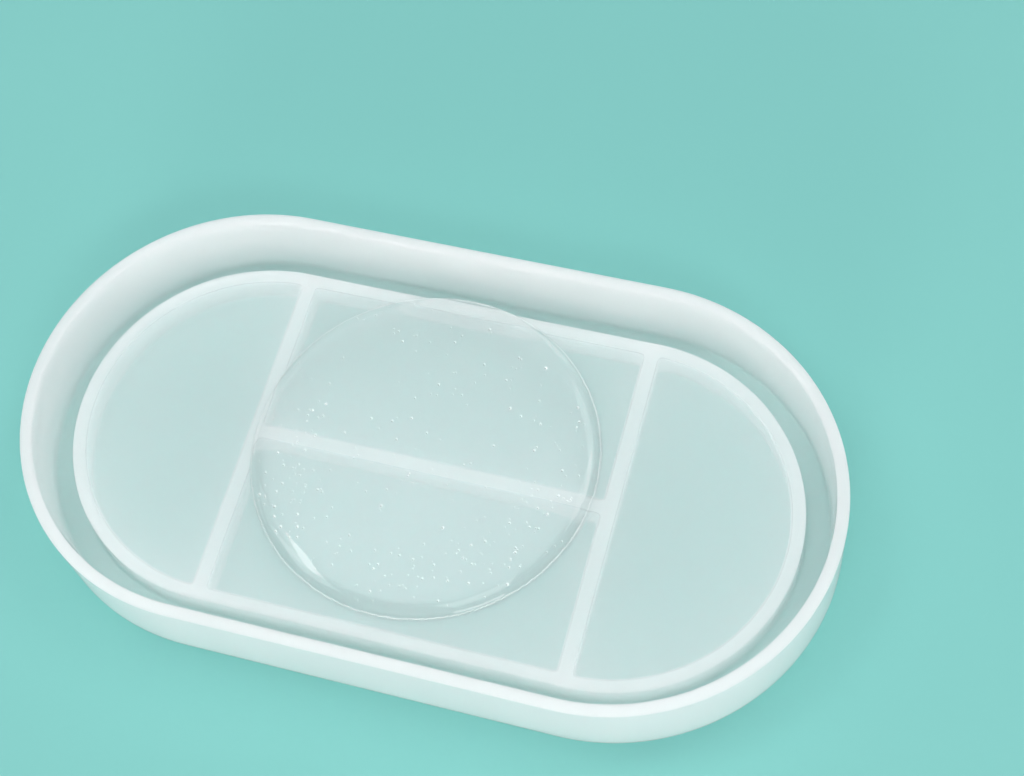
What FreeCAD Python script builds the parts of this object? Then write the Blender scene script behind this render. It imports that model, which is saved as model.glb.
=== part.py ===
"""Resin casting mould: a soft tray mould with a raised island, and the first pour of resin on it.

The mould is one moulding of translucent silicone. An outer wall with the outline of a stadium, two
half circles joined by straights, holds the resin in. A channel follows its foot all the way round and
casts the rim of the tray. Inside the channel stands the island, whose top, the deck, casts the floor of
the tray. The island is hollow from below: its own wall and three ribs, set out like a letter H, carry
the deck on the bench. Walls and ribs are about 3 mm thick. The deck and the floor of the channel, which
they hold flat, are much thinner.

Each region of the moulding is a solid of its own, and neighbours meet face to face. The resin pool is
a separate piece that lies on the deck and lifts out once it has cured.

Frame, in millimetres: X along the mould, Y across it, Z up. The origin is on the bench, under the
middle of the mould.
"""

import FreeCAD, Part
import math
import os

import Sketcher
from FreeCAD import Vector

SIZES = [
    # alias, millimetres, what it is
    ("mould_length", 200.0, "overall length of the outer wall"),
    ("mould_width", 108.5, "overall width of the outer wall"),
    ("wall_height", 21.0, "bench to rim"),
    ("wall_thickness", 2.9, "outer wall, and so the width of the rim"),
    ("rim_bevel", 0.4, "flat taken off both edges of the rim"),
    ("floor_thickness", 1.0, "silicone under the channel"),
    ("channel_width", 6.4, "outer wall to island, the width of the rim that is cast"),
    ("channel_round", 1.0, "radius in the two bottom corners of the channel"),
    ("foot_land", 0.5, "flat left on each foot beside its radius"),
    ("island_height", 9.0, "bench to the top of the deck"),
    ("deck_thickness", 1.0, "silicone over the hollow island"),
    ("deck_bevel", 0.4, "flat taken off the outer edge of the deck"),
    ("skirt_thickness", 3.0, "wall of the island"),
    ("rib_thickness", 3.2, "all three ribs"),
    ("rib_spacing", 89.6, "middle to middle of the two cross ribs"),
    ("pool_depth", 2.5, "resin on the deck, at its flat middle"),
    ("pool_edge", 4.5, "how far the resin slopes in from its edge to the flat middle"),
    ("pool_margin", 2.0, "how much smaller the radius of the pool is than that of the island"),
    ("pool_shift_x", -2.0, "middle of the pool, along the mould"),
    ("pool_shift_y", 3.2, "middle of the pool, across the mould"),
]

# Every outline is a stadium round the same two centres, so one radius sets each of them.
CENTRES_APART = "Sizes.mould_length - Sizes.mould_width"
OUTER = "Sizes.mould_width / 2"
CAVITY = f"{OUTER} - Sizes.wall_thickness"
FOOT = "Sizes.channel_round + Sizes.foot_land"
WALL_FOOT = f"{CAVITY} - ({FOOT})"
ISLAND = f"{CAVITY} - Sizes.channel_width"
ISLAND_FOOT = f"{ISLAND} + {FOOT}"
HOLLOW = f"{ISLAND} - Sizes.skirt_thickness"
HOLLOW_HEIGHT = "Sizes.island_height - Sizes.deck_thickness"
POOL = f"{ISLAND} - Sizes.pool_margin"

QUARTER = math.pi / 2
CLOSE = 1e-4  # millimetres, to tell which outline an edge lies on

doc = FreeCAD.newDocument("resin_casting_mould")


def make_sheet():
    """The spreadsheet that holds the driving dimensions, one alias a row."""
    sheet = doc.addObject("Spreadsheet::Sheet", "Sizes")
    for row, (alias, value, meaning) in enumerate(SIZES, start=1):
        sheet.set(f"A{row}", meaning)
        sheet.set(f"B{row}", str(value))
        sheet.setAlias(f"B{row}", alias)
    doc.recompute()
    return sheet


sizes = make_sheet()


def value_of(expression):
    """An expression of the sheet's aliases as a number of millimetres."""
    return float(sizes.evalExpression(expression))


def new_body(name):
    body = doc.addObject("PartDesign::Body", name)
    body.Label = name
    return body


def plane_of(body, role):
    return next(item for item in body.Origin.OriginFeatures if item.Role == role)


def stadium_sketch(body, name, radius, height="0"):
    """A closed stadium on the body's XY plane, lifted to a height. Radius and height are expressions."""
    sketch = body.newObject("Sketcher::SketchObject", name)
    sketch.AttachmentSupport = [(plane_of(body, "XY_Plane"), "")]
    sketch.MapMode = "FlatFace"
    r, a = value_of(radius), value_of(CENTRES_APART) / 2
    up = Vector(0, 0, 1)
    sketch.addGeometry(Part.LineSegment(Vector(-a, -r, 0), Vector(a, -r, 0)), False)
    sketch.addGeometry(Part.ArcOfCircle(Part.Circle(Vector(a, 0, 0), up, r), -QUARTER, QUARTER), False)
    sketch.addGeometry(Part.LineSegment(Vector(a, r, 0), Vector(-a, r, 0)), False)
    sketch.addGeometry(Part.ArcOfCircle(Part.Circle(Vector(-a, 0, 0), up, r), QUARTER, 3 * QUARTER), False)
    front, right, back, left, origin = 0, 1, 2, 3, -1
    start, end, centre = 1, 2, 3
    for first, second in ((front, right), (right, back), (back, left), (left, front)):
        sketch.addConstraint(Sketcher.Constraint("Tangent", first, end, second, start))
    sketch.addConstraint(Sketcher.Constraint("Horizontal", front))
    sketch.addConstraint(Sketcher.Constraint("Symmetric", left, centre, right, centre, origin, start))
    apart = sketch.addConstraint(Sketcher.Constraint("DistanceX", left, centre, right, centre, 2 * a))
    radius_row = sketch.addConstraint(Sketcher.Constraint("Radius", right, r))
    sketch.renameConstraint(apart, "centres_apart")
    sketch.renameConstraint(radius_row, "radius")
    sketch.setExpression("Constraints.centres_apart", CENTRES_APART)
    sketch.setExpression("Constraints.radius", radius)
    sketch.setExpression("AttachmentOffset.Base.z", height)
    return sketch


def pad(body, name, sketch, length):
    feature = body.newObject("PartDesign::Pad", name)
    feature.Profile = sketch
    feature.setExpression("Length", length)
    doc.recompute()
    return feature


def pocket(body, name, sketch, depth):
    """Cuts down from the sketch, and makes sure that it cut something."""
    before = body.Shape.Volume
    feature = body.newObject("PartDesign::Pocket", name)
    feature.Profile = sketch
    feature.setExpression("Length", depth)
    doc.recompute()
    if body.Shape.Volume >= before:
        raise RuntimeError(f"{name} removed nothing")
    return feature


def outline_edges(shape, radius, height):
    """Names of the edges that lie at a height on the stadium of a radius."""
    r, z, a = value_of(radius), value_of(height), value_of(CENTRES_APART) / 2
    names = []
    for number, edge in enumerate(shape.Edges, start=1):
        middle = edge.valueAt((edge.FirstParameter + edge.LastParameter) / 2)
        reach = (max(abs(middle.x) - a, 0) ** 2 + middle.y ** 2) ** 0.5
        level = abs(edge.BoundBox.ZMin - z) < CLOSE and abs(edge.BoundBox.ZMax - z) < CLOSE
        if level and abs(reach - r) < CLOSE:
            names.append(f"Edge{number}")
    return names


def edges_on(body, name, outlines):
    """The body's solid so far, with every edge of it on the given (radius, height) outlines."""
    base = body.Tip
    names = [edge for outline in outlines for edge in outline_edges(base.Shape, *outline)]
    if len(names) != 4 * len(outlines):
        raise RuntimeError(f"{name} found {len(names)} edges")
    return base, names


def fillet(body, name, outlines, radius):
    """Rounds the edges on the outlines, or fills them where they are inside corners."""
    found = edges_on(body, name, outlines)
    feature = body.newObject("PartDesign::Fillet", name)
    feature.Base = found
    feature.setExpression("Radius", radius)
    doc.recompute()
    return feature


def bevel(body, name, outlines, size):
    """Takes a narrow flat off the edges on the outlines."""
    found = edges_on(body, name, outlines)
    feature = body.newObject("PartDesign::Chamfer", name)
    feature.Base = found
    feature.setExpression("Size", size)
    doc.recompute()
    return feature


def outer_wall():
    """The wall that holds the resin, with a flat rim and a foot that curves into the channel."""
    body = new_body("outer_wall")
    height = "Sizes.wall_height"
    pad(body, "wall_block", stadium_sketch(body, "outer_outline", OUTER), height)
    cavity = stadium_sketch(body, "cavity_outline", CAVITY, height)
    pocket(body, "cavity_cut", cavity, f"{height} - Sizes.floor_thickness")
    foot = stadium_sketch(body, "wall_foot_outline", WALL_FOOT, "Sizes.floor_thickness")
    pocket(body, "foot_cut", foot, "Sizes.floor_thickness")
    fillet(body, "wall_corner", [(CAVITY, "Sizes.floor_thickness")], "Sizes.channel_round")
    bevel(body, "rim_edges", [(OUTER, height), (CAVITY, height)], "Sizes.rim_bevel")
    return body


def channel_floor():
    """The flat ring between the two feet, under the channel."""
    body = new_body("channel_floor")
    depth = "Sizes.floor_thickness"
    pad(body, "floor_block", stadium_sketch(body, "floor_outline", WALL_FOOT), depth)
    pocket(body, "island_cut", stadium_sketch(body, "island_foot_outline", ISLAND_FOOT, depth), depth)
    return body


def island_wall():
    """The wall of the island, from the bench to the underside of the deck, with a foot outside."""
    body = new_body("island_wall")
    pad(body, "foot_block", stadium_sketch(body, "foot_outline", ISLAND_FOOT), "Sizes.floor_thickness")
    pad(body, "wall_block", stadium_sketch(body, "island_outline", ISLAND), HOLLOW_HEIGHT)
    hollow = stadium_sketch(body, "hollow_outline", HOLLOW, HOLLOW_HEIGHT)
    pocket(body, "hollow_cut", hollow, HOLLOW_HEIGHT)
    fillet(body, "island_corner", [(ISLAND, "Sizes.floor_thickness")], "Sizes.channel_round")
    return body


def island_deck():
    """The flat top of the island, which casts the floor of the tray."""
    body = new_body("island_deck")
    plate = stadium_sketch(body, "deck_outline", ISLAND, HOLLOW_HEIGHT)
    pad(body, "deck_plate", plate, "Sizes.deck_thickness")
    bevel(body, "deck_edge", [(ISLAND, "Sizes.island_height")], "Sizes.deck_bevel")
    return body


def hollow_space(name):
    """The room under the deck, which trims the ends of a rib to the island's wall."""
    body = new_body(name)
    pad(body, f"{name}_pad", stadium_sketch(body, f"{name}_outline", HOLLOW), HOLLOW_HEIGHT)
    return body


def cross_rib(name, side):
    """A rib across the hollow, on the left (side -1) or the right (side 1)."""
    bar = doc.addObject("Part::Box", f"{name}_bar")
    bar.setExpression("Length", "Sizes.rib_thickness")
    bar.setExpression("Width", "Sizes.mould_width")
    bar.setExpression("Height", HOLLOW_HEIGHT)
    bar.setExpression("Placement.Base.x", f"{side} * Sizes.rib_spacing / 2 - Sizes.rib_thickness / 2")
    bar.setExpression("Placement.Base.y", "-Sizes.mould_width / 2")
    rib = doc.addObject("Part::Common", name)
    rib.Label = name
    rib.Base = bar
    rib.Tool = hollow_space(f"{name}_room")
    return rib


def centre_rib():
    """The rib along the mould, from one cross rib to the other."""
    rib = doc.addObject("Part::Box", "centre_rib")
    rib.Label = "centre_rib"
    rib.setExpression("Length", "Sizes.rib_spacing - Sizes.rib_thickness")
    rib.setExpression("Width", "Sizes.rib_thickness")
    rib.setExpression("Height", HOLLOW_HEIGHT)
    rib.setExpression("Placement.Base.x", "-(Sizes.rib_spacing - Sizes.rib_thickness) / 2")
    rib.setExpression("Placement.Base.y", "-Sizes.rib_thickness / 2")
    return rib


def pool_profile(body):
    """Half a section of the pool: flat underneath and on top, joined by an arc that is level at the top."""
    sketch = body.newObject("Sketcher::SketchObject", "pool_section")
    sketch.AttachmentSupport = [(plane_of(body, "XZ_Plane"), "")]
    sketch.MapMode = "FlatFace"
    reach, depth, edge = value_of(POOL), value_of("Sizes.pool_depth"), value_of("Sizes.pool_edge")
    bend = (edge ** 2 + depth ** 2) / (2 * depth)
    flat = reach - edge
    middle, top = Vector(0, 0, 0), Vector(0, depth, 0)
    shoulder, rim = Vector(flat, depth, 0), Vector(reach, 0, 0)
    centre = Vector(flat, depth - bend, 0)
    rise = (rim - centre).getAngle(Vector(1, 0, 0))
    arc = Part.ArcOfCircle(Part.Circle(centre, Vector(0, 0, 1), bend), rise, QUARTER)
    under, slope, over, axis, origin = 0, 1, 2, 3, -1
    start, end = 1, 2
    sketch.addGeometry(Part.LineSegment(middle, rim), False)
    sketch.addGeometry(arc, False)
    sketch.addGeometry(Part.LineSegment(shoulder, top), False)
    sketch.addGeometry(Part.LineSegment(top, middle), False)
    sketch.addConstraint(Sketcher.Constraint("Coincident", under, start, origin, start))
    sketch.addConstraint(Sketcher.Constraint("Coincident", under, end, slope, start))
    sketch.addConstraint(Sketcher.Constraint("Tangent", slope, end, over, start))
    sketch.addConstraint(Sketcher.Constraint("Coincident", over, end, axis, start))
    sketch.addConstraint(Sketcher.Constraint("Coincident", axis, end, under, start))
    sketch.addConstraint(Sketcher.Constraint("Horizontal", under))
    sketch.addConstraint(Sketcher.Constraint("Horizontal", over))
    sketch.addConstraint(Sketcher.Constraint("Vertical", axis))
    named = {
        "reach": (Sketcher.Constraint("DistanceX", under, start, under, end, reach), POOL),
        "depth": (Sketcher.Constraint("DistanceY", axis, end, axis, start, depth), "Sizes.pool_depth"),
        "edge": (Sketcher.Constraint("DistanceX", slope, end, slope, start, edge), "Sizes.pool_edge"),
    }
    for name, (constraint, expression) in named.items():
        row = sketch.addConstraint(constraint)
        sketch.renameConstraint(row, name)
        sketch.setExpression(f"Constraints.{name}", expression)
    return sketch


def resin_pool():
    """The first pour, a flat round pool with a sloping edge, which reaches just past the deck's far edge."""
    body = new_body("resin_pool")
    turn = body.newObject("PartDesign::Revolution", "pool_turn")
    turn.Profile = pool_profile(body)
    turn.ReferenceAxis = (turn.Profile[0], ["V_Axis"])
    turn.Angle = 360
    doc.recompute()
    body.setExpression("Placement.Base.x", "Sizes.pool_shift_x")
    body.setExpression("Placement.Base.y", "Sizes.pool_shift_y")
    body.setExpression("Placement.Base.z", "Sizes.island_height")
    return body


def check(parts):
    """Stops the build if any object failed, or a part is not a sound solid."""
    for item in doc.Objects:
        if {"Invalid", "Error"} & set(item.State):
            raise RuntimeError(f"{item.Name} failed: {item.State}")
    for part in parts:
        if part.Shape.isNull() or not part.Shape.isValid() or part.Shape.Volume <= 0:
            raise RuntimeError(f"{part.Label} is not a sound solid")


def export(parts):
    os.makedirs("parts", exist_ok=True)
    for part in parts:
        part.Shape.exportStep(f"parts/{part.Label}.step")
        box = part.Shape.optimalBoundingBox(False, False)
        print(f"{part.Label}: {len(part.Shape.Solids)} solid, {part.Shape.Volume / 1000:.2f} ml, "
              f"z {box.ZMin:.2f} to {box.ZMax:.2f}")


parts = [
    outer_wall(),
    channel_floor(),
    island_wall(),
    island_deck(),
    cross_rib("cross_rib_left", -1),
    cross_rib("cross_rib_right", 1),
    centre_rib(),
    resin_pool(),
]
doc.recompute()
check(parts)
export(parts)
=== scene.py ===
import bmesh
import bpy
import numpy as np
from mathutils import Matrix, Vector


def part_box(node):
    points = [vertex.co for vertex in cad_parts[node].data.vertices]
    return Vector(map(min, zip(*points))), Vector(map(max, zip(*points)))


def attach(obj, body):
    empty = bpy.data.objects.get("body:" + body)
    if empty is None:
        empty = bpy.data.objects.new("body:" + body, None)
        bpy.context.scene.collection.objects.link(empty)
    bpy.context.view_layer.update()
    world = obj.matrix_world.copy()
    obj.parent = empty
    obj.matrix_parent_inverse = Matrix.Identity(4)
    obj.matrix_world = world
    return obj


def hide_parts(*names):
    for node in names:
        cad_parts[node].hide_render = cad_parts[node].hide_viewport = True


# %% [markdown]
# # A silicone tray mould with resin in it
# The object is one soft silicone moulding: an oval outer wall, a channel, and a raised island whose hollow
# back is braced by ribs in the shape of an H. A round pool of clear resin has been poured on the island.
# The CAD model gives every size, so this lesson begins by loading it and measuring its parts in metres.

# %% Load the CAD frame and measure it
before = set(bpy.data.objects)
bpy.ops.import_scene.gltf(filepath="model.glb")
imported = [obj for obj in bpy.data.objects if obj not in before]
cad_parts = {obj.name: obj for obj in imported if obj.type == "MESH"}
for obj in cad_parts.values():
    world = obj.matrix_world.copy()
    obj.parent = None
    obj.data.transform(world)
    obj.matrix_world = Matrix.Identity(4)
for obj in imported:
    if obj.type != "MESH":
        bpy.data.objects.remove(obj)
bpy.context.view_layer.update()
MM = 0.001

_, wall_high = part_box("outer_wall")
deck_low, deck_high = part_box("island_deck")
_, skirt_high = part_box("island_wall")
_, floor_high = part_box("channel_floor")
rib_left_low, rib_left_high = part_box("cross_rib_left")
rib_right_low, rib_right_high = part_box("cross_rib_right")
spine_low, spine_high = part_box("centre_rib")
pool_low, pool_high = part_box("resin_pool")

outer_radius = wall_high.y
half_run = wall_high.x - outer_radius
deck_radius = deck_high.y
corner_reach = skirt_high.y - deck_radius
cavity_radius = floor_high.y + corner_reach
hollow_radius = rib_right_high.y
wall_top = wall_high.z
floor_top = floor_high.z
ceiling = deck_low.z
deck_top = deck_high.z
print("half length of the straight sides, mm:", round(half_run / MM, 3))
print("outer, cavity, deck and hollow radius, mm:",
      [round(r / MM, 2) for r in (outer_radius, cavity_radius, deck_radius, hollow_radius)])

# %% [markdown]
# ## Surfaces from a profile and a path
# A moulding like this one has the same section almost all the way round. Such a surface has two
# parameters: one runs along the path, the other along the section. The path here is written as points
# of a core line plus outward unit normals, so that a section given as (distance from the core, height)
# can be carried round it with one line of array arithmetic. Distance zero closes the surface on the core.

# %% Paths, rounded sections and the carried surface
RUN_SHARES = (0.15, 0.35, 0.65, 0.85)
SAME_POINT, NO_LENGTH = 2e-7, 1e-8


def stadium_path(half, arc_steps, run_steps):
    """The path of two half circles joined by straight runs. On an end the core point rests at (+-half, 0)
    while the normal turns by half a turn. Along a side the normal is (0, +-1) while the core point moves."""
    turn = np.linspace(-np.pi / 2, np.pi / 2, arc_steps, endpoint=False)
    slide = np.linspace(half, -half, run_steps, endpoint=False)
    zero, one = np.zeros(run_steps), np.ones(run_steps)
    core = np.concatenate([
        np.stack([np.full(arc_steps, half), np.zeros(arc_steps)], axis=1),
        np.stack([slide, zero], axis=1),
        np.stack([np.full(arc_steps, -half), np.zeros(arc_steps)], axis=1),
        np.stack([-slide, zero], axis=1),
    ])
    normal = np.concatenate([
        np.stack([np.cos(turn), np.sin(turn)], axis=1),
        np.stack([zero, one], axis=1),
        np.stack([-np.cos(turn), -np.sin(turn)], axis=1),
        np.stack([zero, -one], axis=1),
    ])
    return core, normal


def rounded_section(corners, arc_steps=8, support=0.12 * MM):
    """A section of straight runs whose corners are rounded: rows of (distance, height, radius).
    An arc starts where the run ends and follows start + r sin(t) d + r (1 - cos(t)) n, where d is the
    run's direction, n points to the arc's centre and t goes from 0 to the corner's turn. Each run gets
    points close to both its ends, which keeps smooth shading flat on the flat faces."""
    corners = np.asarray(corners, float)
    points, radius = corners[:, :2], corners[1:-1, 2]
    step = np.diff(points, axis=0)
    length = np.hypot(step[:, 0], step[:, 1])
    way = step / length[:, None]
    cross = way[:-1, 0] * way[1:, 1] - way[:-1, 1] * way[1:, 0]
    dot = (way[:-1] * way[1:]).sum(axis=1)
    turn = np.arctan2(np.abs(cross), dot)
    cut = radius * np.tan(turn / 2)
    start = points[1:-1] - cut[:, None] * way[:-1]
    inward = np.sign(cross)[:, None] * np.stack([-way[:-1, 1], way[:-1, 0]], axis=1)
    angle = turn[:, None] * np.linspace(0, 1, arc_steps + 1)[None, :]
    arcs = (start[:, None]
            + (radius[:, None] * np.sin(angle))[..., None] * way[:-1][:, None]
            + (radius[:, None] * (1 - np.cos(angle)))[..., None] * inward[:, None])
    begin = np.concatenate([points[:1], arcs[:, -1]])
    end = np.concatenate([arcs[:, 0], points[-1:]])
    span = np.hypot(*(end - begin).T)
    edge = np.minimum(support / span, 0.25)
    inner_share = np.broadcast_to(RUN_SHARES, (len(span), len(RUN_SHARES)))
    share = np.sort(np.concatenate([edge[:, None], inner_share, 1 - edge[:, None]], axis=1), axis=1)
    runs = begin[:, None] + share[..., None] * (end - begin)[:, None]
    rows = [points[:1]]
    for run, arc in zip(runs, arcs):
        rows += [run, arc]
    rows += [runs[-1], points[-1:]]
    return np.concatenate(rows)


def carried(section, path):
    """Carries a section round a path: the point at (step i, row j) is core_i + distance_j * normal_i,
    at height_j."""
    core, normal = path
    distance = np.broadcast_to(section[None, :, 0], (len(core), len(section)))
    height = np.broadcast_to(section[None, :, 1], distance.shape)
    flat = core[:, None] + distance[..., None] * normal[:, None]
    return np.concatenate([flat, height[..., None]], axis=2)


def ring_faces(steps, rows, first=0):
    """Four-sided faces of a grid that closes on itself along its first parameter."""
    i, j = np.meshgrid(np.arange(steps), np.arange(rows - 1), indexing="ij")
    k = (i + 1) % steps
    quads = np.stack([i * rows + j, k * rows + j, k * rows + j + 1, i * rows + j + 1], axis=-1)
    return quads.reshape(-1, 4) + first


def mesh_piece(name, grids, fill_open=False):
    """One closed object from several grids. Points that coincide are merged, flat openings may be
    filled, and all faces are turned outwards."""
    points, faces, count = [], [], 0
    for grid in grids:
        steps, rows = grid.shape[:2]
        points.append(grid.reshape(-1, 3))
        faces.append(ring_faces(steps, rows, count))
        count += steps * rows
    data = bpy.data.meshes.new(name)
    data.from_pydata(np.concatenate(points).tolist(), [], np.concatenate(faces).tolist())
    shape = bmesh.new()
    shape.from_mesh(data)
    bmesh.ops.remove_doubles(shape, verts=shape.verts, dist=SAME_POINT)
    bmesh.ops.dissolve_degenerate(shape, edges=shape.edges, dist=NO_LENGTH)
    if fill_open:
        rim = [edge for edge in shape.edges if edge.is_boundary]
        bmesh.ops.triangle_fill(shape, edges=rim, use_beauty=True)
    bmesh.ops.recalc_face_normals(shape, faces=shape.faces)
    open_edges = sum(not edge.is_manifold for edge in shape.edges)
    for face in shape.faces:
        face.smooth = True
    shape.to_mesh(data)
    shape.free()
    piece = bpy.data.objects.new(name, data)
    bpy.context.scene.collection.objects.link(piece)
    print(name, "faces:", len(data.polygons), "open edges:", open_edges)
    return piece


# %% [markdown]
# ## The silicone mould
# The real mould is cast in one go, so it is one closed skin here too: the outer wall with its soft rim,
# the channel with swept corners, the island, and four pockets under the deck with the ribs between them.
# Modelling it as one skin matters for the look, because the light that wanders inside milky silicone
# must not meet a wall between two parts.

# %% The skin of the mould
RIM_ROUND = 0.6 * MM
FOOT_ROUND = 0.35 * MM
CHANNEL_ROUND = 1.0 * MM
DECK_ROUND = 0.8 * MM
FOOT_EDGE = 0.8 * MM
section = rounded_section([
    (outer_radius - FOOT_EDGE, 0, 0),
    (outer_radius, 0, FOOT_ROUND),
    (outer_radius, wall_top, RIM_ROUND),
    (cavity_radius, wall_top, RIM_ROUND),
    (cavity_radius, floor_top, CHANNEL_ROUND),
    (deck_radius, floor_top, CHANNEL_ROUND),
    (deck_radius, deck_top, DECK_ROUND),
    (0, deck_top, 0),
])
skin = carried(section, stadium_path(half_run, 96, 30))
print("skin grid:", skin.shape)

# %% The four pockets under the deck
POCKET_CORNER = 1.3 * MM
CEILING_ROUND = 0.7 * MM
MOUTH_ROUND = 0.3 * MM
MOUTH_EDGE = 0.2 * MM


def box_path(low, high, corner_steps=10, run_steps=24):
    """The path of a rectangle with rounded corners: the core is the rectangle drawn in by the corner
    radius, and at each core corner the normal turns by a quarter."""
    x0, y0 = low[0] + POCKET_CORNER, low[1] + POCKET_CORNER
    x1, y1 = high[0] - POCKET_CORNER, high[1] - POCKET_CORNER
    ends = np.array([(x1, y0), (x1, y1), (x0, y1), (x0, y0)])
    starts = np.roll(ends, 1, axis=0)
    turn = np.linspace(0, np.pi / 2, corner_steps)
    slide = np.linspace(0, 1, run_steps + 2)[1:-1]
    quarter = np.arange(4)[:, None] * np.pi / 2 - np.pi / 2
    angle = np.concatenate([np.repeat(quarter, run_steps, axis=1), quarter + turn[None]], axis=1)
    runs = starts[:, None] + slide[None, :, None] * (ends - starts)[:, None]
    rests = np.repeat(ends[:, None], corner_steps, axis=1)
    core = np.concatenate([runs, rests], axis=1).reshape(-1, 2)
    angle = angle.reshape(-1)
    return core, np.stack([np.cos(angle), np.sin(angle)], axis=1)


def end_path(centre_x, rib_x, side, corner_steps=10, arc_steps=64, run_steps=24):
    """The path of the pocket between a cross rib and the round end of the hollow: an arc about the end
    centre, cut off by the rib's face. Its core is drawn in by the corner radius. side is +1 or -1."""
    reach = hollow_radius - POCKET_CORNER
    cut = abs(rib_x) + POCKET_CORNER - abs(centre_x)
    lean = np.arccos(cut / reach)
    arc = np.linspace(-lean, lean, arc_steps)
    top = np.array([cut, reach * np.sin(lean)])
    bottom = top * (1, -1)
    slide = np.linspace(0, 1, run_steps + 2)[1:-1]
    upper = np.linspace(lean, np.pi, corner_steps + 1)[1:]
    lower = np.linspace(np.pi, 2 * np.pi - lean, corner_steps + 1)[:-1]
    core = np.concatenate([
        reach * np.stack([np.cos(arc), np.sin(arc)], axis=1),
        np.repeat(top[None], corner_steps, axis=0),
        top[None] + slide[:, None] * (bottom - top)[None],
        np.repeat(bottom[None], corner_steps, axis=0),
    ])
    angle = np.concatenate([arc, upper, np.full(run_steps, np.pi), lower])
    core[:, 0] = side * (core[:, 0] + abs(centre_x))
    return core, np.stack([side * np.cos(angle), np.sin(angle)], axis=1)


pocket_section = rounded_section([
    (POCKET_CORNER + MOUTH_ROUND + MOUTH_EDGE, 0, 0),
    (POCKET_CORNER, 0, MOUTH_ROUND),
    (POCKET_CORNER, ceiling, CEILING_ROUND),
    (0, ceiling, 0),
], support=0.08 * MM)


def pocket(path):
    """The pocket's side wall carried round its path, then its ceiling: core points drawn to their middle."""
    side_wall = carried(pocket_section, path)
    core = side_wall[:, -1]
    middle = core.mean(axis=0)
    share = np.linspace(1, 0, 6)[1:]
    roof = middle[None, None] + share[None, :, None] * (core - middle)[:, None]
    return np.concatenate([side_wall, roof], axis=1)


paths = [
    end_path(half_run, rib_right_high.x, 1),
    end_path(half_run, rib_left_low.x, -1),
    box_path((rib_left_high.x, -hollow_radius), (rib_right_low.x, spine_low.y)),
    box_path((rib_left_high.x, spine_high.y), (rib_right_low.x, hollow_radius)),
]
mould = mesh_piece("silicone_mould", [skin] + [pocket(path) for path in paths], fill_open=True)
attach(mould, "mould")
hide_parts("outer_wall", "channel_floor", "island_wall", "island_deck",
            "cross_rib_left", "cross_rib_right", "centre_rib")

# %% [markdown]
# ## The pool of resin
# A liquid that stands on silicone has a flat middle and a round edge. Gravity and surface tension fix
# the shape of that edge, so its curve can be written down instead of drawn by hand. At the far side the
# pool has crept just past the rounded edge of the deck and hangs over it as a thin lip.

# %% The pool's edge curve
CONTACT, SHARP_ANGLE = np.radians((64, 40))
# The curve never quite reaches the flat, so it starts at a small share of the contact angle. Its points
# crowd towards that start.
FIRST_SLOPE, CROWDING = 0.006, 1.5
pool_depth = pool_high.z - pool_low.z
pool_middle = np.array([(pool_low.x + pool_high.x) / 2, (pool_low.y + pool_high.y) / 2])
pool_radius = (pool_high.x - pool_low.x) / 2


def meniscus(depth, contact, rows=48):
    """The edge of a wide puddle. With slope p, from 0 on the flat top to the contact angle at the foot,
    the depth below the top is 2 a sin(p/2) and the distance is a (2 cos(p/2) + ln tan(p/4)), where the
    length a makes the depth at the contact angle equal to the pool's depth."""
    a = depth / (2 * np.sin(contact / 2))
    slope = contact * np.linspace(FIRST_SLOPE, 1, rows) ** CROWDING
    distance = a * (2 * np.cos(slope / 2) + np.log(np.tan(slope / 4)))
    height = depth - 2 * a * np.sin(slope / 2)
    return np.stack([distance - distance[-1], height], axis=1)


edge = meniscus(pool_depth, CONTACT)
print("the pool's edge curve is", round(-edge[0, 0] / MM, 1), "mm wide")

# %% The pool's surface
POOL_STEPS = 360
# How far the lip hangs down, how far past the deck's flat it has to be to hang that far, and the shares
# that shape it. The resin meets the wall a hair inside the silicone, so no gap shows.
LIP_DROP = 2.3 * MM
LIP_FULL = 2.2 * MM
LIP_POWER, LIP_LEAN, LIP_HANG = 0.75, 0.25, 0.85
LIP_OUT, LIP_BELLY = 0.5, 0.9
SIDEWAYS = 0.2
SINK = 0.02 * MM
theta = np.linspace(0, 2 * np.pi, POOL_STEPS, endpoint=False)
ray = np.stack([np.cos(theta), np.sin(theta)], axis=1)[:, None]
reach = np.full(POOL_STEPS, pool_radius)
past = np.clip(pool_middle[1] + reach * ray[:, 0, 1] - (deck_radius - DECK_ROUND), 0, None)
drop = LIP_DROP * np.clip(past / LIP_FULL, 0, 1) ** LIP_POWER
print("the lip passes the flat of the deck by", round(past.max() / MM, 2), "mm")


def deck_edge(depth):
    """How far across the mould the deck's rounded edge lies at a depth below its top: a quarter circle
    down to its radius, and the upright wall below that."""
    down = np.clip(depth, 0, DECK_ROUND)
    return deck_radius - DECK_ROUND + np.sqrt(DECK_ROUND ** 2 - (DECK_ROUND - down) ** 2) - SINK


def lip(drop, share):
    """The lip under the edge curve: a cubic Bezier curve from the edge curve's foot, which it leaves at
    the contact angle, to the place where the resin ends on the island's wall. share runs from 0 to 1."""
    s = share[None]
    foot = np.minimum(reach, (deck_edge(drop) - pool_middle[1]) / np.maximum(ray[:, 0, 1], SIDEWAYS))[:, None]
    top, tall = reach[:, None], drop[:, None]
    lean = LIP_LEAN * tall
    out = ((1 - s) ** 3 * top + 3 * (1 - s) ** 2 * s * (top + LIP_OUT * lean)
           + 3 * (1 - s) * s ** 2 * (foot + LIP_BELLY * np.minimum(top - foot, tall)) + s ** 3 * foot)
    down = (3 * (1 - s) ** 2 * s * lean + 3 * (1 - s) * s ** 2 * LIP_HANG * tall + s ** 3 * tall)
    return out, -down


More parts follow.
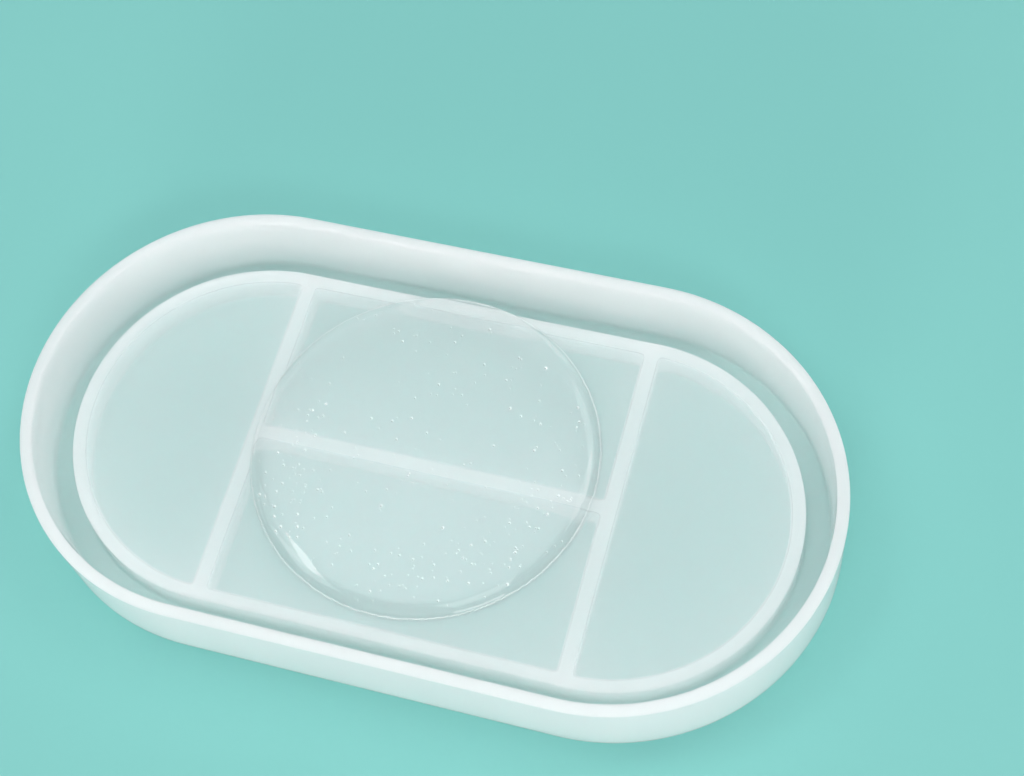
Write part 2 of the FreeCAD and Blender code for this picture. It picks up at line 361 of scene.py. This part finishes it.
def seat(drop, share):
    """The underside of the lip: from the end of the lip back up the wall and round the deck's edge."""
    depth = drop[:, None] * share[None]
    across = (deck_edge(depth) - pool_middle[1]) / np.maximum(ray[..., 1], SIDEWAYS)
    return np.minimum(reach[:, None], across), -depth


opening, closing = np.linspace(0, 1, 12)[:-1], np.linspace(1, 0, 8)[1:]
curve_out = reach[:, None] + edge[None, :, 0]
lip_out, lip_height = lip(drop, np.linspace(0, 1, 10)[1:])
seat_out, seat_height = seat(drop, np.linspace(1, 0, 10)[1:])
distance = np.concatenate([opening * curve_out[:, :1], curve_out, lip_out, seat_out,
                           closing * seat_out[:, -1:]], axis=1)
height = np.concatenate([np.full((POOL_STEPS, len(opening)), edge[0, 1]),
                         np.repeat(edge[None, :, 1], POOL_STEPS, axis=0), lip_height, seat_height,
                         np.zeros((POOL_STEPS, len(closing)))], axis=1)
pool_grid = np.concatenate([pool_middle + distance[..., None] * ray, (pool_low.z - SINK + height)[..., None]],
                           axis=2)
pool = mesh_piece("resin_pour", [pool_grid])
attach(pool, "casting")
pool.data.set_sharp_from_angle(angle=SHARP_ANGLE)
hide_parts("resin_pool")

# %% [markdown]
# ## Air bubbles in the resin, and a painted highlight at its edge
# Freshly mixed resin is full of tiny air bubbles, and they drift up to the skin. Along the pool's edge a thin
# line of small white beads is a painted highlight: it stands in for the pale line of light where the edge
# curve meets the deck. With the beads there are more than a thousand, so each is a small sphere of a few
# dozen faces, and all of them are one mesh: one set of unit points, scaled and moved by whole arrays of radii
# and centres.

# %% Scatter the bubbles
# A drift is a count of bubbles and the mean and spread of their direction from the pool's middle, in
# degrees. It lies in a ring given as shares of the pool's radius. The radii of bubbles are in millimetres.
# The second count is of the white beads that paint a highlight line along the pool's edge.
BUBBLES, EDGE_HIGHLIGHT_BEADS = 330, 900
DRIFTS = ((70, 205, 22), (80, 310, 30))
DRIFT_INNER, DRIFT_WIDTH = 0.62, 0.33
FLOATING_SHARE, FLOAT_DEPTH, LEAST_COVER = 0.8, 0.5, 4
LEAST_RADIUS, MORE_RADIUS = 0.18, 0.2
TURN = 2 * np.pi
rng = np.random.default_rng(11)


def unit_sphere(around=7, rows=4):
    """The unit sphere as rings between two poles: latitude a gives radius cos(a) at height sin(a)."""
    lat = np.linspace(-np.pi / 2, np.pi / 2, rows + 2)[1:-1]
    lon = np.arange(around) * TURN / around
    ring = np.stack([np.outer(np.cos(lat), np.cos(lon)), np.outer(np.cos(lat), np.sin(lon)),
                     np.repeat(np.sin(lat)[:, None], around, axis=1)], axis=2).reshape(-1, 3)
    points = np.concatenate([[(0, 0, -1)], ring, [(0, 0, 1)]])
    i, j = np.meshgrid(np.arange(rows - 1), np.arange(around), indexing="ij")
    k = (j + 1) % around
    quads = np.stack([1 + i * around + j, 1 + i * around + k, 1 + (i + 1) * around + k,
                      1 + (i + 1) * around + j], axis=-1).reshape(-1, 4)
    j = np.arange(around)
    k = (j + 1) % around
    last = 1 + (rows - 1) * around
    south = np.stack([0 * j, 1 + k, 1 + j], axis=1)
    north = np.stack([last + j, last + k, 0 * j + len(points) - 1], axis=1)
    return points, quads, south, north


drifted = sum(count for count, _, _ in DRIFTS)
spread = pool_radius * np.sqrt(rng.random(BUBBLES))
around = rng.random(BUBBLES) * TURN
spread[:drifted] = pool_radius * (DRIFT_INNER + DRIFT_WIDTH * rng.random(drifted))
around[:drifted] = np.radians(np.concatenate([rng.normal(mean, scatter, count)
                                              for count, mean, scatter in DRIFTS]))
size = (LEAST_RADIUS + MORE_RADIUS * rng.random(BUBBLES) ** 3) * MM
cover = np.interp(spread, pool_radius + edge[:, 0], edge[:, 1])
floating = rng.random(BUBBLES) < FLOATING_SHARE
share = 0.2 + 0.7 * rng.random(BUBBLES)
height = np.where(floating, cover - FLOAT_DEPTH * size, size + (cover - 2.6 * size) * share)
kept = cover > LEAST_COVER * size
spread, around, size, height = spread[kept], around[kept], size[kept], height[kept]
print("bubbles inside the pool:", len(size))

# %% Line the pool's edge with white beads, a painted highlight
# The edge beads are a painted highlight: a thin line of white spheres just inside the contact, standing in
# for the pale line of light there.
RIM_INSET, RIM_SCATTER, RIM_SHIFT = 0.4, 0.3, 0.003
RIM_RADIUS, RIM_MORE, RIM_DEPTH = 0.12, 0.08, 0.6
rim_spread = pool_radius - (RIM_INSET + RIM_SCATTER * rng.random(EDGE_HIGHLIGHT_BEADS)) * MM
rim_around = np.arange(EDGE_HIGHLIGHT_BEADS) * TURN / EDGE_HIGHLIGHT_BEADS + RIM_SHIFT * rng.random(EDGE_HIGHLIGHT_BEADS)
rim_size = (RIM_RADIUS + RIM_MORE * rng.random(EDGE_HIGHLIGHT_BEADS)) * MM
rim_height = np.interp(rim_spread, pool_radius + edge[:, 0], edge[:, 1]) - RIM_DEPTH * rim_size
spread, around = np.r_[spread, rim_spread], np.r_[around, rim_around]
size, height = np.r_[size, rim_size], np.r_[height, rim_height]
centre = np.stack([pool_middle[0] + spread * np.cos(around), pool_middle[1] + spread * np.sin(around),
                   pool_low.z - SINK + height], axis=1)
unit, quads, south, north = unit_sphere()
points = (centre[:, None] + size[:, None, None] * unit[None]).reshape(-1, 3)
shift = (np.arange(len(size)) * len(unit))[:, None, None]
faces = [list(face) for part in (quads, south, north)
         for face in (part[None] + shift).reshape(-1, part.shape[1]).tolist()]
# One mesh holds the real bubbles and the white beads of the painted highlight at the edge.
bubble_and_bead_data = bpy.data.meshes.new("bubbles_and_highlight_beads")
bubble_and_bead_data.from_pydata(points.tolist(), [], faces)
bubble_and_bead_data.shade_smooth()
bubbles = bpy.data.objects.new("bubbles_and_highlight_beads", bubble_and_bead_data)
bpy.context.scene.collection.objects.link(bubbles)
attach(bubbles, "casting")
print("bubbles:", len(size), "of", len(unit), "points, widest", round(2 * size.max() / MM, 2), "mm")

# %% [markdown]
# ## Effects that several finishes share
# Nothing cast, poured or painted is perfectly even. Three small node groups hold what the finishes of this
# scene have in common: a slow change of tone, the relief that a real surface has at two sizes, and a
# scatter of tiny specks. Each group gives only a colour, a value or a normal, so the shader stays in the
# material and can be read there.

# %% Shared effects as node groups
def new_group(name, inputs, outputs):
    """An empty node group with named sockets; each is (name, kind) or (name, kind, starting value)."""
    group = bpy.data.node_groups.new(name, "ShaderNodeTree")
    for label, kind, *value in inputs:
        socket = group.interface.new_socket(label, in_out="INPUT", socket_type="NodeSocket" + kind)
        if value:
            socket.default_value = value[0]
    for label, kind in outputs:
        group.interface.new_socket(label, in_out="OUTPUT", socket_type="NodeSocket" + kind)
    return group, group.nodes.new("NodeGroupInput"), group.nodes.new("NodeGroupOutput")


def noise(group, place, scale, detail):
    """A noise texture fixed to the object, with its scale taken from a socket."""
    texture = group.nodes.new("ShaderNodeTexNoise")
    texture.inputs["Detail"].default_value = detail
    group.links.new(place, texture.inputs["Vector"])
    group.links.new(scale, texture.inputs["Scale"])
    return texture.outputs["Fac"]


def maths(nodes, operation, *fixed):
    """A Math node, with (input number, value) for each input that isn't linked."""
    node = nodes.new("ShaderNodeMath")
    node.operation = operation
    for number, value in fixed:
        node.inputs[number].default_value = value
    return node


def make_cloudy_tone():
    """Slow change between two colours, with the share of the second one as a value."""
    group, given, made = new_group("cloudy_tone", [("Colour", "Color"), ("Other Colour", "Color"),
                                                   ("Scale", "Float", 25.0)],
                                   [("Colour", "Color"), ("Share", "Float")])
    place = group.nodes.new("ShaderNodeTexCoord").outputs["Object"]
    share = group.nodes.new("ShaderNodeMapRange")
    share.inputs["From Min"].default_value = 0.3
    share.inputs["From Max"].default_value = 0.7
    blend = group.nodes.new("ShaderNodeMix")
    blend.data_type = "RGBA"
    group.links.new(noise(group, place, given.outputs["Scale"], 1), share.inputs["Value"])
    group.links.new(share.outputs["Result"], blend.inputs["Factor"])
    group.links.new(given.outputs["Colour"], blend.inputs["A"])
    group.links.new(given.outputs["Other Colour"], blend.inputs["B"])
    group.links.new(blend.outputs["Result"], made.inputs["Colour"])
    group.links.new(share.outputs["Result"], made.inputs["Share"])
    return group


def make_surface_relief():
    """Relief at two sizes, each a scale and a height in metres, added up and given as a normal."""
    group, given, made = new_group("surface_relief", [("Fine Scale", "Float"), ("Fine Height", "Float"),
                                                      ("Broad Scale", "Float"), ("Broad Height", "Float")],
                                   [("Normal", "Vector")])
    place = group.nodes.new("ShaderNodeTexCoord").outputs["Object"]
    fine, both = maths(group.nodes, "MULTIPLY"), maths(group.nodes, "MULTIPLY_ADD")
    raised = group.nodes.new("ShaderNodeBump")
    raised.inputs["Distance"].default_value = 1.0
    group.links.new(noise(group, place, given.outputs["Fine Scale"], 0), fine.inputs[0])
    group.links.new(given.outputs["Fine Height"], fine.inputs[1])
    group.links.new(noise(group, place, given.outputs["Broad Scale"], 0), both.inputs[0])
    group.links.new(given.outputs["Broad Height"], both.inputs[1])
    group.links.new(fine.outputs["Value"], both.inputs[2])
    group.links.new(both.outputs["Value"], raised.inputs["Height"])
    group.links.new(raised.outputs["Normal"], made.inputs["Normal"])
    return group


def make_tiny_specks():
    """A mask of scattered round specks: Scale cells to the metre, each speck Size of a cell wide, and
    only the given Share of the cells has one."""
    group, given, made = new_group("tiny_specks", [("Scale", "Float"), ("Size", "Float"), ("Share", "Float")],
                                   [("Mask", "Float")])
    place = group.nodes.new("ShaderNodeTexCoord").outputs["Object"]
    cells = group.nodes.new("ShaderNodeTexVoronoi")
    luck = group.nodes.new("ShaderNodeSeparateColor")
    near, picked = maths(group.nodes, "LESS_THAN"), maths(group.nodes, "LESS_THAN")
    both = maths(group.nodes, "MULTIPLY")
    group.links.new(place, cells.inputs["Vector"])
    group.links.new(given.outputs["Scale"], cells.inputs["Scale"])
    group.links.new(cells.outputs["Color"], luck.inputs["Color"])
    group.links.new(cells.outputs["Distance"], near.inputs[0])
    group.links.new(given.outputs["Size"], near.inputs[1])
    group.links.new(luck.outputs["Red"], picked.inputs[0])
    group.links.new(given.outputs["Share"], picked.inputs[1])
    group.links.new(near.outputs["Value"], both.inputs[0])
    group.links.new(picked.outputs["Value"], both.inputs[1])
    group.links.new(both.outputs["Value"], made.inputs["Mask"])
    return group


cloudy_tone, surface_relief, tiny_specks = make_cloudy_tone(), make_surface_relief(), make_tiny_specks()
print("shared effects:", [group.name for group in (cloudy_tone, surface_relief, tiny_specks)])


# %% Start a finish
def new_finish(name):
    """A material with a Principled shader and its output, and the two lists that new nodes go into."""
    material = bpy.data.materials.new(name)
    material.use_nodes = True
    nodes, links = material.node_tree.nodes, material.node_tree.links
    nodes.clear()
    output = nodes.new("ShaderNodeOutputMaterial")
    body = nodes.new("ShaderNodeBsdfPrincipled")
    links.new(body.outputs["BSDF"], output.inputs["Surface"])
    return material, nodes, links, body, output


def shared(nodes, group, **values):
    """A shared effect placed in a finish, with its sockets set by name."""
    node = nodes.new("ShaderNodeGroup")
    node.node_tree = group
    for label, value in values.items():
        node.inputs[label.replace("_", " ")].default_value = value
    return node


def between(nodes, links, share, low, high):
    """A value that goes from low to high with a share from 0 to 1."""
    span = nodes.new("ShaderNodeMapRange")
    span.inputs["To Min"].default_value = low
    span.inputs["To Max"].default_value = high
    links.new(share, span.inputs["Value"])
    return span.outputs["Result"]


def set_over(nodes, links, mask, under, over):
    """Lay a plain colour or value over another socket where a mask is 1."""
    layer = nodes.new("ShaderNodeMix")
    kind = "RGBA" if isinstance(over, tuple) else "FLOAT"
    layer.data_type = kind
    place = [socket for socket in layer.inputs if socket.enabled]
    links.new(mask, place[0])
    links.new(under, place[1])
    place[2].default_value = over
    return [socket for socket in layer.outputs if socket.enabled][0]


# %% [markdown]
# ## Milky silicone
# Casting silicone of this kind is clear rubber with a little haze. A thin web shows what is under it and
# a thick wall looks white, with no change of material. So the surface is a satin glass and the white comes
# from inside: a volume that scatters light, and takes away a trace of red first. Thickness does the rest.
# The surface has the soft waviness of a pressed part, and a few specks of dust, which silicone attracts.
# Light that has already been turned a dozen times inside is so well mixed that the skin's last bend no
# longer shows, so from there on it leaves straight. That keeps the render short and loses no light.

# %% The silicone's finish
LAST_BEND = 12
SILICONE_IOR, MILK_COLOUR, MILK_DENSITY = 1.41, (0.982, 0.968, 0.973, 1), 1250
DUST_COLOUR, DUST_ROUGHNESS = (0.86, 0.87, 0.88, 1), 0.5
silicone, nodes, links, body, output = new_finish("milky_silicone")
body.inputs["IOR"].default_value = SILICONE_IOR
body.inputs["Transmission Weight"].default_value = 1.0
tone = shared(nodes, cloudy_tone, Colour=(0.987, 0.99, 0.996, 1), Other_Colour=(0.993, 0.994, 0.998, 1),
              Scale=28)
dust = shared(nodes, tiny_specks, Scale=330, Size=0.055, Share=0.035)
relief = shared(nodes, surface_relief, Fine_Scale=700, Fine_Height=5e-6, Broad_Scale=45, Broad_Height=6e-5)
satin = between(nodes, links, tone.outputs["Share"], 0.2, 0.24)
links.new(set_over(nodes, links, dust.outputs["Mask"], tone.outputs["Colour"], DUST_COLOUR),
          body.inputs["Base Color"])
links.new(set_over(nodes, links, dust.outputs["Mask"], satin, DUST_ROUGHNESS), body.inputs["Roughness"])
links.new(relief.outputs["Normal"], body.inputs["Normal"])
deep = maths(nodes, "GREATER_THAN", (1, LAST_BEND))
leaving = nodes.new("ShaderNodeMixShader")
links.new(nodes.new("ShaderNodeLightPath").outputs["Ray Depth"], deep.inputs[0])
links.new(deep.outputs["Value"], leaving.inputs[0])
links.new(body.outputs["BSDF"], leaving.inputs[1])
links.new(nodes.new("ShaderNodeBsdfTransparent").outputs["BSDF"], leaving.inputs[2])
links.new(leaving.outputs["Shader"], output.inputs["Surface"])
milk = nodes.new("ShaderNodeVolumeScatter")
milk.inputs["Color"].default_value = MILK_COLOUR
milk.inputs["Density"].default_value = MILK_DENSITY
links.new(milk.outputs["Volume"], output.inputs["Volume"])
mould.data.materials.append(silicone)

# %% [markdown]
# ## Clear resin and its bubbles
# Mixed resin is a clear syrup with a mirror-like skin. The only marks on it are slow swells left by the
# stream, and specks of froth too small to be modelled. An air bubble inside it looks like a white bead,
# because its skin turns back most of the light that comes from the side; here that reflected light is painted
# as a plain white finish.

# %% The resin's finish
RESIN_IOR, FROTH_ROUGHNESS = 1.5, 0.7
resin, nodes, links, body, output = new_finish("clear_resin")
body.inputs["IOR"].default_value = RESIN_IOR
body.inputs["Transmission Weight"].default_value = 1.0
tone = shared(nodes, cloudy_tone, Colour=(0.985, 0.992, 0.99, 1), Other_Colour=(0.992, 0.996, 0.996, 1),
              Scale=35)
froth = shared(nodes, tiny_specks, Scale=520, Size=0.06, Share=0.05)
swell = shared(nodes, surface_relief, Fine_Scale=160, Fine_Height=1.2e-6, Broad_Scale=32, Broad_Height=3e-5)
sheen = between(nodes, links, tone.outputs["Share"], 0.0, 0.02)
links.new(tone.outputs["Colour"], body.inputs["Base Color"])
links.new(set_over(nodes, links, froth.outputs["Mask"], sheen, FROTH_ROUGHNESS), body.inputs["Roughness"])
links.new(swell.outputs["Normal"], body.inputs["Normal"])
pool.data.materials.append(resin)

# %% The white finish of the bubbles and the edge beads: a painted glint
# The plain white colour is a painted glint: it stands in for the light that the bubbles' skins reflect, and
# for the highlight line at the pool's edge.
air, nodes, links, body, output = new_finish("white_painted_glint")
tone = shared(nodes, cloudy_tone, Colour=(0.95, 0.97, 0.97, 1), Other_Colour=(0.99, 0.995, 0.995, 1),
              Scale=300)
links.new(tone.outputs["Colour"], body.inputs["Base Color"])
links.new(between(nodes, links, tone.outputs["Share"], 0.2, 0.4), body.inputs["Roughness"])
bubbles.data.materials.append(air)
print("finishes:", [finish.name for finish in (silicone, resin, air)])

# %% [markdown]
# ## The floor
# A painted board. It lies a hair below the mould's feet, so the two faces never share a plane, and it has
# the faint unevenness of rolled paint. Its colour matters, because it is seen through the silicone.

# %% The painted floor
FLOOR_COLOUR, FLOOR_PALER = (0.223, 0.568, 0.526, 1), (0.226, 0.574, 0.532, 1)
FLOOR_SIZE, FLOOR_DROP, FLOOR_SHINE = 3, 5e-5, 0.1
corners = np.array([(-1, -1), (1, -1), (1, 1), (-1, 1)]) * FLOOR_SIZE
floor_data = bpy.data.meshes.new("floor")
floor_data.from_pydata(np.c_[corners, np.full(4, -FLOOR_DROP)].tolist(), [], [(0, 1, 2, 3)])
floor = bpy.data.objects.new("floor", floor_data)
bpy.context.scene.collection.objects.link(floor)
paint, nodes, links, body, output = new_finish("floor_paint")
tone = shared(nodes, cloudy_tone, Colour=FLOOR_COLOUR, Other_Colour=FLOOR_PALER, Scale=9)
relief = shared(nodes, surface_relief, Fine_Scale=900, Fine_Height=6e-6, Broad_Scale=90, Broad_Height=1e-5)
links.new(tone.outputs["Colour"], body.inputs["Base Color"])
links.new(between(nodes, links, tone.outputs["Share"], 0.85, 0.95), body.inputs["Roughness"])
links.new(relief.outputs["Normal"], body.inputs["Normal"])
body.inputs["Specular IOR Level"].default_value = FLOOR_SHINE
floor.data.materials.append(paint)

# %% [markdown]
# ## Soft studio light
# The mould and the resin are both clear enough to be lit from every side, so most of the light comes from a
# plain white world. It grows brighter overhead, because only light from above reaches the foot of the
# channel. It also holds one soft glow almost overhead, which the still resin mirrors without a hard edge.
# A few area lamps add what such a world can't give: bright outer walls and the thin highlights on the
# pool's round edge. Two of them stand low and have narrow beams, so they light the walls and not the floor
# at their feet. Rays from the camera see a paler backdrop, which lights nothing.

# %% The world: white, brighter overhead, with one soft glow
WORLD_LEVEL, ZENITH_LEVEL = 0.28, 0.62
GLOW_LEVEL = 1.45
BACKDROP_LEVEL = 0.86
ZENITH_POWER = 4
GLOW_PLACE, GLOW_SHAPE = (-0.15, 0.2, 0), (0.5, 1, 0)
GLOW_REACH, GLOW_CORE = 0.27, 0.14
WORLD_COLOUR = (0.98, 1.0, 1.03, 1)
world = bpy.data.worlds.new("studio")
world.use_nodes = True
nodes, links = world.node_tree.nodes, world.node_tree.links
background = nodes["Background"]
background.inputs["Color"].default_value = WORLD_COLOUR
sight = nodes.new("ShaderNodeTexCoord")
aside, oval, away = [nodes.new("ShaderNodeVectorMath") for _ in range(3)]
aside.operation, oval.operation, away.operation = "SUBTRACT", "MULTIPLY", "LENGTH"
aside.inputs[1].default_value = GLOW_PLACE
oval.inputs[1].default_value = GLOW_SHAPE
fade = nodes.new("ShaderNodeMapRange")
fade.interpolation_type = "SMOOTHSTEP"
for label, value in zip(("From Min", "From Max", "To Max"), (GLOW_REACH, GLOW_CORE, GLOW_LEVEL)):
    fade.inputs[label].default_value = value
above = nodes.new("ShaderNodeSeparateXYZ")
upper, higher = maths(nodes, "GREATER_THAN", (1, 0)), maths(nodes, "MAXIMUM", (1, 0))
steep = maths(nodes, "POWER", (1, ZENITH_POWER))
sky = maths(nodes, "MULTIPLY_ADD", (1, ZENITH_LEVEL), (2, WORLD_LEVEL))
glow = maths(nodes, "MULTIPLY_ADD")
seen = nodes.new("ShaderNodeMix")
seen.inputs["B"].default_value = BACKDROP_LEVEL
for source, target in (
        (sight.outputs["Generated"], aside.inputs[0]), (aside.outputs["Vector"], oval.inputs[0]),
        (oval.outputs["Vector"], away.inputs[0]), (away.outputs["Value"], fade.inputs["Value"]),
        (sight.outputs["Generated"], above.inputs[0]), (above.outputs["Z"], upper.inputs[0]),
        (above.outputs["Z"], higher.inputs[0]), (higher.outputs["Value"], steep.inputs[0]),
        (steep.outputs["Value"], sky.inputs[0]), (fade.outputs["Result"], glow.inputs[0]),
        (upper.outputs["Value"], glow.inputs[1]), (sky.outputs["Value"], glow.inputs[2]),
        (nodes.new("ShaderNodeLightPath").outputs["Is Camera Ray"], seen.inputs["Factor"]),
        (glow.outputs["Value"], seen.inputs["A"]), (seen.outputs["Result"], background.inputs["Strength"])):
    links.new(source, target)
print("world: level", WORLD_LEVEL, "to", WORLD_LEVEL + ZENITH_LEVEL, "overhead, glow", GLOW_LEVEL)
bpy.context.scene.world = world


# %% Lamps
def lamp(name, aim, direction, distance, size, power, colour=(1, 1, 1), spread=180):
    """A rectangular soft light that shines from a direction towards a point, hidden from the camera.
    spread is the full angle of its beam in degrees."""
    data = bpy.data.lights.new(name, "AREA")
    data.shape = "RECTANGLE"
    data.size, data.size_y = size
    data.energy = power
    data.color = colour
    data.spread = np.radians(spread)
    thing = bpy.data.objects.new(name, data)
    thing.visible_camera = False
    way = Vector(direction).normalized()
    place = Vector(aim) + way * distance
    thing.matrix_world = Matrix.Translation(place) @ way.to_track_quat("Z", "Y").to_matrix().to_4x4()
    bpy.context.scene.collection.objects.link(thing)


AIM = (0, 0, deck_top)
WARM, NARROW = (1, 0.92, 0.9), 30
lamp("hot_spot", AIM, (-0.43, 0.03, 0.9), 1.2, (0.26, 0.09), 0.42)
lamp("strip", AIM, (0.43, -0.60, 0.65), 1.4, (0.5, 0.27), 3.0)
lamp("front_bar", AIM, (0, -1, 0.15), 0.7, (1.0, 0.12), 0.29, WARM, NARROW)
lamp("right_bar", AIM, (1, 0, 0.15), 0.7, (0.6, 0.12), 0.05, WARM, NARROW)
lamp("overhead", AIM, (0.14, -0.16, 0.98), 1.4, (0.4, 0.4), 1.35)
lamp("back_left", AIM, (-0.7, 0.6, 0.5), 1.4, (0.8, 0.5), 0.7)
lamp("back_high", AIM, (0.32, 0.52, 0.79), 1.4, (0.7, 0.35), 1.3)
lamp("back_steep", AIM, (0.38, 0.36, 0.85), 1.4, (0.4, 0.4), 1.2)
lamp("left_steep", AIM, (-0.52, -0.14, 0.84), 1.4, (0.4, 0.4), 1.0)
lamp("left_high", AIM, (-0.62, 0.0, 0.78), 1.4, (0.35, 0.6), 0.8)
lamp("front_high", AIM, (0.0, -0.6, 0.8), 1.4, (0.9, 0.4), 0.5)

# %% [markdown]
# ## The camera
# It looks down from the front right, as someone pouring at a bench would, and is turned a little about
# its own line of sight, so that the mould lies across the picture.

# %% Place the camera
LOOK_AT, DISTANCE = Vector((0.01404, 0.02453, 0.01)), 0.456193
SENSOR, LENS, NEAREST = 36, 65.764, 0.01
ELEVATION, AZIMUTH, ROLL = np.radians((62.7919, 25.8909, -11.5289))
back = Vector((np.cos(ELEVATION) * np.sin(AZIMUTH), -np.cos(ELEVATION) * np.cos(AZIMUTH), np.sin(ELEVATION)))
level = Vector((np.cos(AZIMUTH), np.sin(AZIMUTH), 0))
rise = back.cross(level)
right = level * np.cos(ROLL) + rise * np.sin(ROLL)
up = rise * np.cos(ROLL) - level * np.sin(ROLL)
camera_data = bpy.data.cameras.new("camera")
camera_data.sensor_width, camera_data.lens = SENSOR, LENS
camera_data.clip_start = NEAREST
camera = bpy.data.objects.new("camera", camera_data)
turn = Matrix((right, up, back)).transposed().to_4x4()
camera.matrix_world = Matrix.Translation(LOOK_AT + back * DISTANCE) @ turn
bpy.context.scene.collection.objects.link(camera)
bpy.context.scene.camera = camera
print("camera at", [round(value, 4) for value in camera.matrix_world.translation])

# %% [markdown]
# ## Enough bounces for milk
# In a milky body light turns many times before it leaves, and each turn counts as a bounce. With the usual
# few dozen the deep channel goes grey, because paths are cut off before they find their way out.

MOST_BOUNCES, INNER_BOUNCES, PLAIN_BOUNCES = 96, 64, 16
scene = bpy.context.scene
scene.view_settings.view_transform = "Standard"
scene.cycles.max_bounces = MOST_BOUNCES
scene.cycles.volume_bounces = scene.cycles.transmission_bounces = scene.cycles.glossy_bounces = INNER_BOUNCES
scene.cycles.transparent_max_bounces = scene.cycles.diffuse_bounces = PLAIN_BOUNCES
scene.cycles.blur_glossy = 0
bpy.context.view_layer.update()
